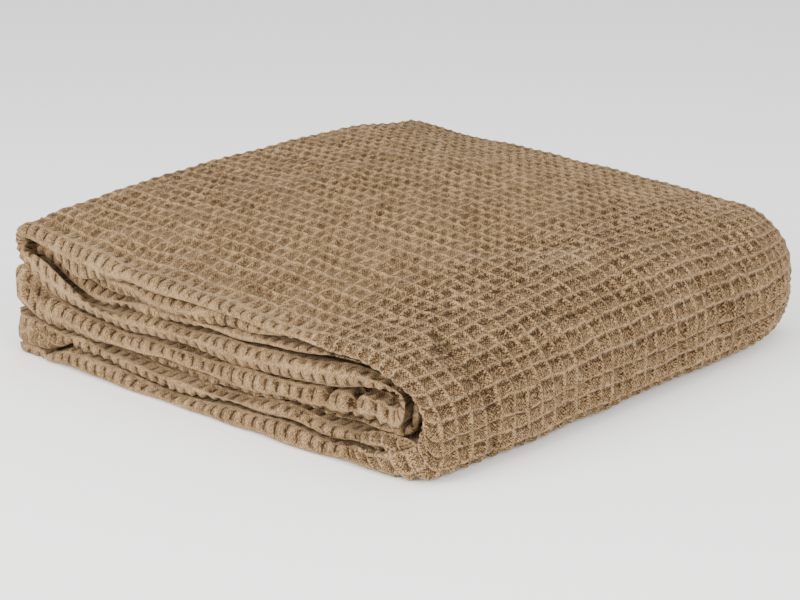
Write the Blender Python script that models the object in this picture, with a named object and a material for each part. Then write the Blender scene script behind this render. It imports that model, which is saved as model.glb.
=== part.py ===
"""A waffle weave cotton blanket, folded into a soft, uneven stack.

The blanket is one sheet. Its two side edges are folded in to the middle and the
sheet is folded once more along the middle, which makes a long strip of four
layers. The strip is folded in half twice, which makes four bands: bottom, lower
inner, upper inner and top.

Frame, in metres: X runs along the front, where each band shows the folded noses
of its layers. +X is the side where the strip turns up from the bottom band into
the top band. -X is the side with the strip's two ends and the fold between the
top and upper inner bands. The origin is at the bottom centre of the stack.
"""

import math

import bpy
import numpy as np

MM = 0.001

# Size of the folded stack. The tables below give X and Y from a place near its middle.
LEFT_X = -172 * MM
RIGHT_X = 188 * MM
CENTRE_X = 8.06 * MM  # the middle of the stack, in the tables' X and Y
CENTRE_Y = -3.2 * MM
DEPTH = 0.385  # along Y
FRONT_Y = -DEPTH / 2
REAR_Y = DEPTH / 2

# The cloth
CLOTH = 1.6 * MM  # thickness of the sheet, its relief pressed flat
CLEARANCE = 0.3 * MM  # from the face of a layer to the border of its band
SKIN = CLOTH / 2 + CLEARANCE  # from the middle of a layer to that border
THINNEST_NOSE = 2 * SKIN + CLOTH + 2 * CLEARANCE  # two layers, a little apart

# Height of the top of the stack. Rows run from front to back, and columns from
# the left end, where the strip ends, to the right end, where it turns up.
TOP_X = (-150 * MM, -50 * MM, 50 * MM, 145 * MM)
TOP_ROWS = (
    # y, left end, left middle, right middle, right end (mm)
    (-176, 84.0, 72.5, 67.5, 64.5),
    (-150, 89.5, 81.0, 73.0, 65.5),
    (-100, 95.6, 90.0, 81.0, 70.0),
    (0, 102.8, 99.5, 91.0, 79.0),
    (100, 106.5, 102.5, 93.0, 81.0),
    (172, 103.5, 95.2, 88.5, 78.0),
)

# Borders between the bands along the front, as heights in mm: the bottom and
# lower inner bands meet at the first, the two inner bands at the second, and the
# upper inner and top bands at the third.
FRONT_ROWS = (
    # x, bottom|lower, lower|upper, upper|top
    (-172, 34.0, 56.0, 71.0),
    (-160, 28.0, 54.5, 71.5),
    (-150, 26.8, 49.0, 71.5),
    (-138, 25.3, 41.5, 68.0),
    (-127, 23.6, 38.5, 62.5),
    (-115, 22.5, 36.3, 57.0),
    (-101, 21.5, 34.3, 51.8),
    (-85, 20.3, 32.3, 50.3),
    (-62, 18.6, 31.2, 51.5),
    (-40, 17.0, 32.5, 50.5),
    (0, 14.6, 32.0, 51.5),
    (40, 16.0, 30.5, 52.5),
    (75, 18.5, 33.0, 54.0),
    (105, 15.5, 36.5, 55.5),
    (130, 18.0, 39.0, 55.0),
    (150, 19.0, 39.5, 52.5),
)
# The same borders at the back, as shares of the height of the stack
BACK_SHARES = (0.26, 0.49, 0.74)
FRONT_REACH = 110 * MM  # the front's borders fade into the back's over this depth

# How the four layers lie in a band. The first and second layers share a folded
# nose at the front, and so do the third and fourth; the first and fourth share
# one at the back. Split is the first nose's share of the band's thickness. Each
# inset is how far behind the stack's front or back a nose lies (mm). Square is
# the exponent of the noses' outline: 2 is an ellipse, and more is fuller. Places
# are numbered along the strip: 0 to 3 is the bottom band, 4 the right side, 5 to
# 7 the top band, 8 the left side, 9 to 11 the upper inner band, 12 the inner turn
# at the right, and 13 to 16 the lower inner band.
LAY_ROWS = (
    # place, split, first nose, second nose, back, square
    (0.00, 0.78, 2.5, 5.0, 8.0, 5.0),
    (0.40, 0.78, 0.8, 3.4, 7.0, 5.5),
    (0.70, 0.77, 0.2, 3.4, 6.0, 6.0),
    (1.00, 0.76, 0.0, 4.0, 5.0, 6.5),
    (1.06, 0.74, 0.0, 3.0, 5.0, 6.0),
    (1.12, 0.74, 0.0, -0.5, 5.0, 4.5),
    (1.28, 0.32, 1.5, -1.5, 5.0, 3.2),
    (1.87, 0.60, 2.0, -1.0, 5.0, 2.8),
    (2.10, 0.50, 2.5, -1.5, 5.0, 2.8),
    (2.50, 0.42, 4.0, -1.5, 5.0, 2.8),
    (3.00, 0.50, 6.0, -1.0, 5.0, 2.8),
    (3.45, 0.50, 8.0, 0.0, 5.0, 2.8),
    (3.60, 0.50, 12.0, 1.5, 6.0, 2.8),
    (3.75, 0.45, 18.0, 3.0, 7.0, 2.8),
    (4.00, 0.42, 22.0, 4.5, 8.0, 2.8),
    (5.00, 0.45, 16.0, 4.0, 7.0, 2.8),
    (6.00, 0.57, 6.0, 5.0, 5.0, 2.8),
    (6.50, 0.55, 12.0, 5.0, 6.0, 2.8),
    (7.00, 0.45, 20.0, 5.5, 7.0, 2.8),
    (8.00, 0.45, 22.0, 6.5, 11.0, 2.8),
    (9.00, 0.50, 17.0, 5.5, 8.0, 2.8),
    (9.25, 0.62, 15.0, 5.5, 8.0, 2.8),
    (9.45, 0.48, 12.0, 5.0, 8.0, 2.8),
    (9.70, 0.27, 10.5, 5.0, 7.0, 2.8),
    (10.0, 0.25, 10.0, 5.0, 7.0, 2.8),
    (11.0, 0.25, 11.0, 5.0, 7.0, 2.8),
    (12.0, 0.32, 16.0, 5.5, 10.0, 2.8),
    (13.0, 0.28, 13.0, 6.0, 8.0, 2.8),
    (14.0, 0.28, 11.0, 6.0, 7.0, 2.8),
    (15.0, 0.30, 14.0, 3.5, 7.0, 4.0),
    (15.4, 0.33, 14.2, 3.2, 7.0, 4.4),
    (15.7, 0.36, 14.6, 4.0, 8.0, 4.7),
    (16.0, 0.40, 16.0, 6.5, 9.0, 5.0),
)
NOSE_ROOM = 9 * MM  # the longest nose, from its tip to the flat of its layers
NOSE_SHARE = 0.62  # length of a nose, as a share of its thickness
SHORTEST_NOSE = 3.5 * MM
COVER_FROM = 4 * MM  # a nose this far ahead of its neighbour starts to cover it
COVER_OVER = 6 * MM  # and covers it all this much further ahead
NEAR_FRONT = 30 * MM  # behind the noses, the layers space out over this depth
FLAT_GAP = 5 * MM  # at least this far from a nose to the points behind it
FLAT_STOP = 12 * MM  # from the last row of points to the back noses

# Where bands start and turn into each other
BAND_LEFT = -150 * MM  # the bottom and lower inner bands start here
BAND_RIGHT = 120 * MM  # the bottom and top bands turn into the right side here
LOBE_X = -158.5 * MM  # the top and upper inner bands turn into each other here
LOBE_INSET = 3.0 * MM  # how far that turn stays behind the stack's left
ROLL_X = 149 * MM  # the two inner bands turn into each other here
ROLL_END = 161 * MM  # and that turn reaches to here
ROLL_ROOM = 1.5 * MM  # how much shorter their curve is than the side's inner face
SIDE_WALL = 11.5 * MM  # thickness of the strip at the right side
FRONT_HOLLOW = 8 * MM  # how much less the right side reaches out at the front
REAR_HOLLOW = 22 * MM  # and at the back
OUTER_MIDDLE = 0.44  # height of the right side's widest place, as a share
INNER_MIDDLE = 0.50  # the same for its inner face
# Exponents of the turns' outlines
SQUARE_OUTER_HIGH = 1.95
SQUARE_OUTER_LOW = 7.0
SQUARE_REAR_HIGH = 2.3  # the same two at the back of the right side
SQUARE_REAR_LOW = 3.2
REAR_FROM = 110 * MM  # they change from here
REAR_OVER = 80 * MM  # over this depth
SQUARE_INNER_HIGH = 2.1
SQUARE_INNER_LOW = 3.7
SQUARE_ROUND = 2.0

# Openings between two bands next to the turn that joins them
ROLL_OPENING = 2.5 * MM  # half the height of the one in the inner turn
ROLL_OPENING_X = 134 * MM  # it opens from here
LOBE_OPENING = 2.6 * MM  # half the height of the one in the left turn
LOBE_OPENING_X = -105 * MM
OPENING_REACH = 2.5 * MM  # how far an opening reaches into its turn

# The strip's ends, rounded from the floor to the top of the lower inner band
END_X = LEFT_X + 0.5 * MM
END_MIDDLE = 24 * MM  # height of the widest place
END_HALF = 30 * MM
END_ROUNDING = 2.4 * MM

# Steps of the sheet's grid. All bands share their places along X and Y, except
# at their ends and noses, so that their layers stay parallel.
BAND_X = (-150, -136, -122, -107, -90, -60, -20, 25, 70, 120, 135, 149)  # in mm
FLAT_FIRST = 26 * MM  # first shared place along Y, behind the stack's front
FLAT_NEXT = 45 * MM  # second shared place
SIDE_STEPS = 10
LEFT_STEPS = 6
ROLL_STEPS = 6
LAYER_STEPS = 6
NOSE_STEPS = 4
BACK_STEPS = 4
BACK_SQUARE = 2.8
FINE = 20  # finer steps, to measure the way round a turn

COTTON = (0.42, 0.30, 0.19, 1.0)


def smooth(x):
    """Ease from 0 to 1."""
    x = min(max(x, 0.0), 1.0)
    return x * x * (3 - 2 * x)


def eased(x, xs, values):
    """Value at x of a table whose steps are eased into each other."""
    x = min(max(x, xs[0]), xs[-1])
    i = max(0, min(int(np.searchsorted(xs, x, side="right")) - 1, len(xs) - 2))
    slope = [0.0] * len(xs)
    for j in range(len(xs)):
        a, b = max(j - 1, 0), min(j + 1, len(xs) - 1)
        slope[j] = (values[b] - values[a]) / (xs[b] - xs[a])
    step = xs[i + 1] - xs[i]
    share = (x - xs[i]) / step
    bend = slope[i] * share * (1 - share) ** 2 - slope[i + 1] * share**2 * (1 - share)
    return values[i] + (values[i + 1] - values[i]) * smooth(share) + step * bend


def top_height(x, y):
    """Height of the top of the stack above the point x, y."""
    ys = [row[0] * MM for row in TOP_ROWS]
    across = [eased(x, TOP_X, [v * MM for v in row[1:]]) for row in TOP_ROWS]
    return eased(y, ys, across)


def front_border(x, column):
    """Height at the front of the border in a column of FRONT_ROWS."""
    xs = [row[0] * MM for row in FRONT_ROWS]
    return eased(x, xs, [row[column] * MM for row in FRONT_ROWS])


def side_reach(y):
    """How far the right side stands out from where its turn starts."""
    share = 2 * y / DEPTH
    hollow = FRONT_HOLLOW * share**2 if y < 0 else REAR_HOLLOW * share**6
    return RIGHT_X - hollow - BAND_RIGHT


def border(k, x, y):
    """Height of border k at x, y: 0 the floor, 1 to 3 between bands, 4 the top."""
    if k == 0:
        return -CLEARANCE
    if k == 4:
        return top_height(x, y)
    if k != 2 and x > BAND_RIGHT:
        square = SQUARE_INNER_LOW if k == 1 else SQUARE_INNER_HIGH
        middle = INNER_MIDDLE * top_height(BAND_RIGHT, y)
        out = (x - BAND_RIGHT) / (side_reach(y) - SIDE_WALL - ROLL_ROOM)
        return middle + (border(k, BAND_RIGHT, y) - middle) * (1 - out**square) ** (1 / square)
    front = front_border(x, k) / top_height(x, FRONT_Y)
    depth = smooth((y - FRONT_Y) / FRONT_REACH)
    share = front + (BACK_SHARES[k - 1] - front) * depth
    return share * top_height(x, y)


def opening(k, x):
    """Half the height of the opening at border k."""
    if k == 2:
        return ROLL_OPENING * smooth((x - ROLL_OPENING_X) / (ROLL_X - ROLL_OPENING_X))
    if k == 3:
        return LOBE_OPENING * smooth((LOBE_OPENING_X - x) / (LOBE_OPENING_X - LOBE_X))
    return 0.0


def power(value, exponent):
    """A sine or cosine drawn towards 1, so that its curve is squarer."""
    return math.copysign(abs(value) ** (2 / exponent), value)


def turn(centre, reach_x, reach_up, reach_down, angle, square):
    """Point at an angle on a squarish turn about a centre, in X and Z."""
    across, along = power(math.cos(angle), square), power(math.sin(angle), square)
    reach = reach_up if along > 0 else reach_down
    return np.array((centre[0] + reach_x * across, centre[1] + reach * along))


def band_place(x, y, first, second):
    """Both faces of a band at x, y, from the first of its two borders to the other."""
    part = math.copysign(1.0, second - first)
    one = border(first, x, y) + part * opening(first, x)
    other = border(second, x, y) - part * opening(second, x)
    return np.array((x, one)), np.array((x, other))


def side_place(angle, y):
    """Both faces of the strip where it turns up from the bottom to the top."""
    x, low, high = BAND_RIGHT, border(0, BAND_RIGHT, y), border(4, BAND_RIGHT, y)
    middle = high * OUTER_MIDDLE
    rear = smooth((y - REAR_FROM) / REAR_OVER)
    outer_square, rear_square = SQUARE_OUTER_HIGH, SQUARE_REAR_HIGH
    inner_square = SQUARE_INNER_HIGH
    if angle < 0:
        outer_square, rear_square = SQUARE_OUTER_LOW, SQUARE_REAR_LOW
        inner_square = SQUARE_INNER_LOW
    outer_square += (rear_square - outer_square) * rear
    reach = side_reach(y)
    outer = turn((x, middle), reach, high - middle, middle - low, angle, outer_square)
    middle = high * INNER_MIDDLE
    up, down = border(3, x, y) - middle, middle - border(1, x, y)
    inner = turn((x, middle), reach - SIDE_WALL, up, down, angle, inner_square)
    return inner, outer


def left_place(angle, y):
    """Both faces of the strip where it turns from the top into the inner bands."""
    x, pivot, half = LOBE_X, border(3, LOBE_X, y), opening(3, LOBE_X)
    up, down = border(4, x, y) - pivot, pivot - border(2, x, y)
    reach = x - LEFT_X - LOBE_INSET
    inner = turn((x, pivot), OPENING_REACH, half, half, angle, SQUARE_ROUND)
    return inner, turn((x, pivot), reach, up, down, angle, SQUARE_ROUND)


def roll_place(angle, y):
    """Both faces of the strip where it turns between the two inner bands."""
    x, pivot, half = ROLL_X, border(2, ROLL_X, y), opening(2, ROLL_X)
    up, down = border(3, x, y) - pivot, pivot - border(1, x, y)
    inner = turn((x, pivot), OPENING_REACH, half, half, angle, SQUARE_ROUND)
    return turn((x, pivot), ROLL_END - x, up, down, angle, SQUARE_ROUND), inner


def strip_stations():
    """Stations along the strip: a function of y that gives both faces, with the
    place's number in LAY_ROWS, and how near it is to an end."""
    stations = []

    def band(start, stop, first, second, place):
        low, high = min(start, stop), max(start, stop)
        between = [x * MM for x in BAND_X if low < x * MM < high]
        for x in (start, *sorted(between, reverse=stop < start), stop):
            where = place + 2 * (x - start) / (stop - start)
            stations.append((lambda y, x=x: band_place(x, y, first, second), where, 0.0))

    def turned(place, outer, start, stop, steps, at):
        angles = np.radians(np.linspace(start, stop, steps * FINE + 1))
        points = np.array([place(angle, FRONT_Y / 2)[outer] for angle in angles])
        run = np.cumsum(np.hypot(*np.diff(points, axis=0).T))
        for i in range(1, steps):
            angle, where = angles[i * FINE], at - 1 + 2 * run[i * FINE - 1] / run[-1]
            stations.append((lambda y, a=angle: place(a, y), where, 0.0))

    stations.append((lambda y: band_place(END_X, y, 1, 0), 0.0, 1.0))
    band(BAND_LEFT, BAND_RIGHT, 1, 0, 1)
    turned(side_place, 1, -90, 90, SIDE_STEPS, 4)
    band(BAND_RIGHT, LOBE_X, 3, 4, 5)
    turned(left_place, 1, 90, 270, LEFT_STEPS, 8)
    band(LOBE_X, ROLL_X, 3, 2, 9)
    turned(roll_place, 0, 90, -90, ROLL_STEPS, 12)
    band(ROLL_X, BAND_LEFT, 1, 2, 13)
    stations.append((lambda y: band_place(END_X, y, 1, 2), 16.0, 1.0))
    return stations


def lay(place):
    """Split, insets and squareness at a place between rows of LAY_ROWS."""
    places = [row[0] for row in LAY_ROWS]
    split, first, second, back, square = (
        float(np.interp(place, places, [row[j] for row in LAY_ROWS])) for j in range(1, 6)
    )
    return split, first * MM, second * MM, back * MM, square


def nose_split(split, thickness):
    """The first nose's share, with room for both noses."""
    least = THINNEST_NOSE / thickness
    return min(max(split, least), 1 - least)


def cover(ahead):
    """How much of its neighbour a nose covers that lies this far ahead of it."""
    return smooth((ahead - COVER_FROM) / COVER_OVER)


def covered(y, front_nose, rear_nose):
    """How much one nose still covers of the other, as far back as y."""
    ahead = max(rear_nose - front_nose, MM)
    behind = y - FRONT_Y - front_nose - CLOTH / 2
    return cover(rear_nose - front_nose) * (1 - smooth(behind / ahead))


def nose_reach(share, ahead, thickness):
    """Length of a nose, from its share of the band's thickness."""
    thick = thickness * (share + (1 - share) * cover(ahead))
    return min(max(thick * NOSE_SHARE, SHORTEST_NOSE), NOSE_ROOM)


def section(first, second, back, reach_1, reach_2, square):
    """Path of the cloth across the strip, as rows of y and the layer it is on or
    between. Layers are numbered 1 to 4."""
    rear = REAR_Y - NOSE_ROOM
    base_1 = FRONT_Y + CLOTH / 2 + first + reach_1
    base_2 = FRONT_Y + CLOTH / 2 + second + reach_2
    shared = np.linspace(FRONT_Y + FLAT_NEXT, rear - FLAT_STOP, LAYER_STEPS)
    first_flat = FRONT_Y + FLAT_FIRST
    flats_1 = np.array((max(base_1 + FLAT_GAP, first_flat), *shared))
    flats_2 = np.array((max(base_2 + FLAT_GAP, first_flat), *shared))
    path = []

    def nose(start, stop, y, length, steps, square):
        for i in range(steps + 1):
            angle = math.pi * i / steps
            out = power(math.sin(angle), square)
            swing = (1 - power(math.cos(angle), square)) / 2
            path.append((y + length * out, start + (stop - start) * swing))

    path.extend((y, 2.0) for y in flats_1[::-1])
    nose(2.0, 1.0, base_1, -reach_1, NOSE_STEPS, square)
    path.extend((y, 1.0) for y in flats_1)
    nose(1.0, 4.0, rear - back, NOSE_ROOM - CLOTH / 2, BACK_STEPS, BACK_SQUARE)
    path.extend((y, 4.0) for y in flats_2[::-1])
    nose(4.0, 3.0, base_2, -reach_2, NOSE_STEPS, square)
    path.extend((y, 3.0) for y in flats_2)
    return path


def depth_of(layer, y, thickness, split, first_nose, second_nose):
    """Distance of a layer from the first face of its band."""
    first, last = SKIN, thickness - SKIN
    near = smooth((y - FRONT_Y - NOSE_ROOM) / NEAR_FRONT)
    middle = nose_split(split, thickness) * thickness
    second, third = middle - SKIN, middle + SKIN
    second += (last - second) * covered(y, first_nose, second_nose)
    third += (first - third) * covered(y, second_nose, first_nose)
    second += ((first * 2 + last) / 3 - second) * near
    third += ((first + last * 2) / 3 - third) * near
    return np.interp(layer, (1, 2, 3, 4), (first, second, third, last))


def sheet_points():
    """Middle of the cloth, as rows along the strip of points across it."""
    rows = []
    for faces, place, end in strip_stations():
        split, first, second, back, square = lay(place)
        one, other = faces(FRONT_Y + NOSE_ROOM)
        thickness = float(np.hypot(*(other - one)))
        share = nose_split(split, thickness)
        reach_1 = nose_reach(share, second - first, thickness)
        reach_2 = nose_reach(1 - share, first - second, thickness)
        row = []
        for y, layer in section(first, second, back, reach_1, reach_2, square):
            one, other = faces(y)
            span = other - one
            thickness = float(np.hypot(*span))
            away = depth_of(layer, y, thickness, split, first, second) / thickness
            x, z = one + span * away
            x += end * END_ROUNDING * min(abs(z - END_MIDDLE) / END_HALF, 1.0) ** 3
            row.append((x - CENTRE_X, y - CENTRE_Y, z))
        rows.append(row)
    return np.array(rows)


def clear_scene():
    for obj in list(bpy.data.objects):
        bpy.data.objects.remove(obj, do_unlink=True)


def cotton_material():
    material = bpy.data.materials.new("cotton")
    material.use_nodes = True
    shader = material.node_tree.nodes["Principled BSDF"]
    shader.inputs["Base Color"].default_value = COTTON
    shader.inputs["Roughness"].default_value = 0.95
    shader.inputs["Metallic"].default_value = 0.0
    return material


def blanket():
    points = sheet_points()
    along, across = points.shape[:2]
    faces = []
    for i in range(along - 1):
        for j in range(across - 1):
            a = i * across + j
            faces.append((a, a + 1, a + across + 1, a + across))
    mesh = bpy.data.meshes.new("blanket")
    mesh.from_pydata(points.reshape(-1, 3).tolist(), [], faces)
    mesh.validate()
    mesh.materials.append(cotton_material())
    mesh.shade_smooth()
    obj = bpy.data.objects.new("blanket", mesh)
    bpy.context.scene.collection.objects.link(obj)
    solid = obj.modifiers.new("cloth", "SOLIDIFY")
    solid.thickness = CLOTH
    solid.offset = 0.0
    return obj


clear_scene()
blanket()
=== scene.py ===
"""Visual model of a waffle weave cotton blanket, folded into a soft, uneven stack.

The cloth follows the folds of its solid: a strip of four layers that runs
through four bands (bottom, top, upper inner and lower inner) and three turns.
The weave is a relief of thin ridges round square recesses. Places along the
strip are counted in cells from its lower end, and places across it in cells from
the middle of the layer that lies outermost in the top band.
"""

import math

import bpy
import numpy as np
from mathutils import Matrix, Vector


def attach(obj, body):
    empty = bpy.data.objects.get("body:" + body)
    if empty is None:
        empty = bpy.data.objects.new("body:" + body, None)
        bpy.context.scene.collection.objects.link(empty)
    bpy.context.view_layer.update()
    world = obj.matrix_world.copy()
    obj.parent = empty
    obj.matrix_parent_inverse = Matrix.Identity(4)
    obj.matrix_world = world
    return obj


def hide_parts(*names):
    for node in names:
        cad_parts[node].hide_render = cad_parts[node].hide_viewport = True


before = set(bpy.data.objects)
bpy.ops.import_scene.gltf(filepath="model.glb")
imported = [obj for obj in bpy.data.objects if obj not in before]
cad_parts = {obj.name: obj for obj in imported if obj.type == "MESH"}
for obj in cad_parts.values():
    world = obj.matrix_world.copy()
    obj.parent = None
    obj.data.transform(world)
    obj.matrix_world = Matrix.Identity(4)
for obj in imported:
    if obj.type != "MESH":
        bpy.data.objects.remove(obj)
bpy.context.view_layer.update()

MM = 0.001
TINY = 1e-12  # keeps a length that is divided by above zero

# ---------------------------------------------------------------- folded shape
# Size of the stack. The tables give X and Y from a place near its middle.
LEFT_X = -172 * MM
RIGHT_X = 188 * MM
CENTRE_X = 8.06 * MM  # the middle of the stack, in the tables' X and Y
CENTRE_Y = -3.2 * MM
DEPTH = 0.385  # along Y
FRONT_Y = -DEPTH / 2
CLOTH = 1.6 * MM  # thickness of the cloth, its relief pressed flat
CLEARANCE = 0.3 * MM  # from the face of a layer to the border of its band
SKIN = CLOTH / 2 + CLEARANCE  # from the middle of a layer to that border
THINNEST_NOSE = 2 * SKIN + CLOTH + 2 * CLEARANCE  # two layers, a little apart

# Height of the top of the stack, in rows from front to back
TOP_X = (-150 * MM, -50 * MM, 50 * MM, 145 * MM)
TOP_ROWS = (
    # y, left end, left middle, right middle, right end (mm)
    (-176, 84.0, 72.5, 67.5, 64.5),
    (-150, 89.5, 81.0, 73.0, 65.5),
    (-100, 95.6, 90.0, 81.0, 70.0),
    (0, 102.8, 99.5, 91.0, 79.0),
    (100, 106.5, 102.5, 93.0, 81.0),
    (172, 103.5, 95.2, 88.5, 78.0),
)
# Heights of the borders between the bands, along the front
FRONT_ROWS = (
    # x, bottom|lower, lower|upper, upper|top (mm)
    (-172, 34.0, 56.0, 71.0),
    (-160, 28.0, 54.5, 71.5),
    (-150, 26.8, 49.0, 71.5),
    (-138, 25.3, 41.5, 68.0),
    (-127, 23.6, 38.5, 62.5),
    (-115, 22.5, 36.3, 57.0),
    (-101, 21.5, 34.3, 51.8),
    (-85, 20.3, 32.3, 50.3),
    (-62, 18.6, 31.2, 51.5),
    (-40, 17.0, 32.5, 50.5),
    (0, 14.6, 32.0, 51.5),
    (40, 16.0, 30.5, 52.5),
    (75, 18.5, 33.0, 54.0),
    (105, 15.5, 36.5, 55.5),
    (130, 18.0, 39.0, 55.0),
    (150, 19.0, 39.5, 52.5),
)
BACK_SHARES = (0.26, 0.49, 0.74)  # the same at the back, as shares of the height
FRONT_REACH = 110 * MM  # the front's borders fade into the back's over this depth
# How the layers lie in a band: the first nose's share of its thickness, how far
# behind the stack's front and back the noses lie, and how full they are
LAY_ROWS = (
    # place along the strip, split, first nose, second nose, back (mm), square
    (0.00, 0.78, 2.5, 5.0, 8.0, 5.0),
    (0.40, 0.78, 0.8, 3.4, 7.0, 5.5),
    (0.70, 0.77, 0.2, 3.4, 6.0, 6.0),
    (1.00, 0.76, 0.0, 4.0, 5.0, 6.5),
    (1.06, 0.74, 0.0, 3.0, 5.0, 6.0),
    (1.12, 0.74, 0.0, -0.5, 5.0, 4.5),
    (1.28, 0.32, 1.5, -1.5, 5.0, 3.2),
    (1.87, 0.60, 2.0, -1.0, 5.0, 2.8),
    (2.10, 0.50, 2.5, -1.5, 5.0, 2.8),
    (2.50, 0.42, 4.0, -1.5, 5.0, 2.8),
    (3.00, 0.50, 6.0, -1.0, 5.0, 2.8),
    (3.45, 0.50, 8.0, 0.0, 5.0, 2.8),
    (3.60, 0.50, 12.0, 1.5, 6.0, 2.8),
    (3.75, 0.45, 18.0, 3.0, 7.0, 2.8),
    (4.00, 0.42, 22.0, 4.5, 8.0, 2.8),
    (5.00, 0.45, 16.0, 4.0, 7.0, 2.8),
    (6.00, 0.57, 6.0, 5.0, 5.0, 2.8),
    (6.50, 0.55, 12.0, 5.0, 6.0, 2.8),
    (7.00, 0.45, 20.0, 5.5, 7.0, 2.8),
    (8.00, 0.45, 22.0, 6.5, 11.0, 2.8),
    (9.00, 0.50, 17.0, 5.5, 8.0, 2.8),
    (9.25, 0.62, 15.0, 5.5, 8.0, 2.8),
    (9.45, 0.48, 12.0, 5.0, 8.0, 2.8),
    (9.70, 0.27, 10.5, 5.0, 7.0, 2.8),
    (10.0, 0.25, 10.0, 5.0, 7.0, 2.8),
    (11.0, 0.25, 11.0, 5.0, 7.0, 2.8),
    (12.0, 0.32, 16.0, 5.5, 10.0, 2.8),
    (13.0, 0.28, 13.0, 6.0, 8.0, 2.8),
    (14.0, 0.28, 11.0, 6.0, 7.0, 2.8),
    (15.0, 0.30, 14.0, 3.5, 7.0, 4.0),
    (15.4, 0.33, 14.2, 3.2, 7.0, 4.4),
    (15.7, 0.36, 14.6, 4.0, 8.0, 4.7),
    (16.0, 0.40, 16.0, 6.5, 9.0, 5.0),
)
NOSE_ROOM = 9 * MM  # the longest nose, from its tip to the flat of its layers
NOSE_SHARE = 0.62  # length of a nose, as a share of its thickness
SHORTEST_NOSE = 3.5 * MM
COVER_FROM = 4 * MM  # a nose this far ahead of the other starts to cover it
COVER_OVER = 6 * MM  # and covers it all this much further ahead
NEAR_FRONT = 30 * MM  # behind the noses, the layers space out over this depth
FLAT_STOP = 12 * MM  # from the last point of a flat to the back noses
BACK_SQUARE = 2.8  # how full the back noses are

# Where bands start and turn into each other
BAND_LEFT = -150 * MM
BAND_RIGHT = 120 * MM
LOBE_X = -158.5 * MM  # the top and upper inner bands turn into each other here
LOBE_INSET = 3.0 * MM
ROLL_X = 149 * MM  # and the two inner bands here
ROLL_END = 161 * MM
ROLL_ROOM = 1.5 * MM
SIDE_WALL = 11.5 * MM  # thickness of the strip at the turned side
FRONT_HOLLOW = 8 * MM  # how much less that side reaches out at the front
REAR_HOLLOW = 22 * MM  # and at the back
OUTER_MIDDLE = 0.44  # height of that side's widest place, as a share
INNER_MIDDLE = 0.50  # the same for its inner face
# Exponents of the turns' outlines: 2 is an ellipse, and more is fuller
SQUARE_OUTER_HIGH = 1.95
SQUARE_OUTER_LOW = 7.0
SQUARE_REAR_HIGH = 2.3
SQUARE_REAR_LOW = 3.2
SQUARE_INNER_HIGH = 2.1
SQUARE_INNER_LOW = 3.7
SQUARE_ROUND = 2.0
REAR_FROM = 110 * MM  # the turned side changes to its rear outline from here
REAR_OVER = 80 * MM
# Openings between two bands next to the turn that joins them
ROLL_OPENING = 2.5 * MM
ROLL_OPENING_X = 134 * MM
LOBE_OPENING = 2.6 * MM
LOBE_OPENING_X = -105 * MM
OPENING_REACH = 2.5 * MM
# The strip's ends, rounded from the floor to the top of the lower inner band
END_X = LEFT_X + 0.5 * MM
END_MIDDLE = 24 * MM
END_HALF = 30 * MM
END_ROUNDING = 2.4 * MM

# How the folded surface is divided and eased
EVEN_Y = -0.1  # the turns are divided into even cells at this place along Y
TURN_POINTS = 721  # points on a turn, to measure the way round it
ROW_BLUR = 0.8  # width of the curve that eases the rows into each other

# ----------------------------------------------------------------------- weave
CELL_WIDE = 10.7 * MM  # pitch across the strip
LINES = (0.0, 0.09, 0.18, 0.32, 0.5, 0.68, 0.82, 0.91)  # grid lines in a cell
STEPS = len(LINES)
COARSE_STEP = 2  # the underside has every second line
PLAIN_STEP = STEPS  # hidden layers have a line at each cell
ROWS_IN_CELL = 3  # rows of the plain folded surface in a cell along the strip
RIDGE_TOP = 1.0 * MM  # above the middle of the cloth
RECESS = 2.3 * MM  # from the top of a ridge to the bottom of a recess
DEPTH_SPREAD = 0.30  # how uneven the recesses' depth is
RIDGE_HALF = 0.20  # half the width of a ridge, in cells
RIDGE_SHARE = 0.86  # share of the height in the ridge, and the rest slopes to it
ARCH = 1.0 * MM  # how much higher a ridge is halfway between two crossings
SLIDE = 0.8 * MM  # how far ridges lie out of line
UNDULATION = 0.9 * MM
WAVE_SHARE = 0.45  # shares of the undulation
RIPPLE_SHARE = 0.5

NOSES = ((-54.6, -50.4), (16.5, 19.6))  # cells across the strip that lie on noses
NOSE_MARGIN = 0.5  # cells that a nose reaches past these
NOSE_FADE = 0.8  # and cells over which it starts and ends
NOSE_RELIEF = 0.28  # share of the relief that a nose keeps
SLOT = 1.5 * MM  # the recesses are pressed into short slots on the noses
SLOT_HALF = 0.13  # half the width of a slot, in cells
SLOT_MEAN = 0.7  # usual depth of a slot, as a share of the deepest
SLOT_SPREAD = 0.5  # how uneven that is

SIDE_CELLS = (33.0, 56.0)  # the turned side, in cells along the strip
SIDE_FADE = 4  # cells over which it starts and ends
SIDE_NOSE = 0.8  # how much less its noses are pressed flat
LOW_SIDE_LIGHT = 2.6  # painted light: how much paler the cloth is painted low on that side, where light from the floor falls
LOW_SIDE_LIGHT_CELL = 43  # cells along the strip: it ends here
LOW_SIDE_LIGHT_FADE = 6
REAR_SIDE_LIGHT = 1.6  # and the same painted light towards its back
REAR_SIDE_LIGHT_CELL = -6  # cells across the strip: it starts here
REAR_SIDE_LIGHT_FADE = 8

HEM = 2.2 * MM  # how far the strip's ends turn in
HEM_CELLS = 0.6
FLAT_HEM = 0.5  # share of the hem, from its edge, that has no relief
TIP_PLACE = -53.2  # a corner of the lower end, in cells across the strip
TIP_HALF = 0.8
TIP_CELLS = 1.4
TIP_TUCK = 5.0 * MM  # how far that corner is tucked in

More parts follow.
